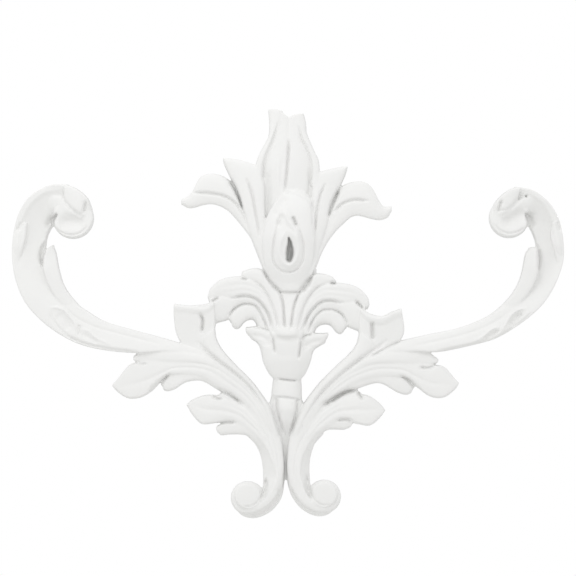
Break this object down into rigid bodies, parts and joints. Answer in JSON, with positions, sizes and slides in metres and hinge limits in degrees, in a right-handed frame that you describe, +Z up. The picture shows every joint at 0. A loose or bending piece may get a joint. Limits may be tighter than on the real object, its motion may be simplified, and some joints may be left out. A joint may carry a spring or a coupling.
{
  "type": "ceiling corner moulding",
  "caption": "Cast relief ornament: a lily over a palmette fan and cup, carried by two leafy S-stems with long C-scroll arms that end in rolls; flat back.",
  "frame": {"origin": "on the flat back, at the middle of the ornament, behind the palmette's centre wedge", "axes": "+Y runs out of the flat back into the wall or ceiling, the relief faces -Y, +Z points up along the lily as the picture shows it, +X to the viewer's right"},
  "size_m": [0.5511, 0.0338, 0.4089],
  "materials": {
    "primed_casting": "white factory primer on moulded polyurethane, satin to matte, soft edges"
  },
  "bodies": {
    "root": {"scroll_and_lily_casting": "primed_casting"}
  },
  "joints": []
}
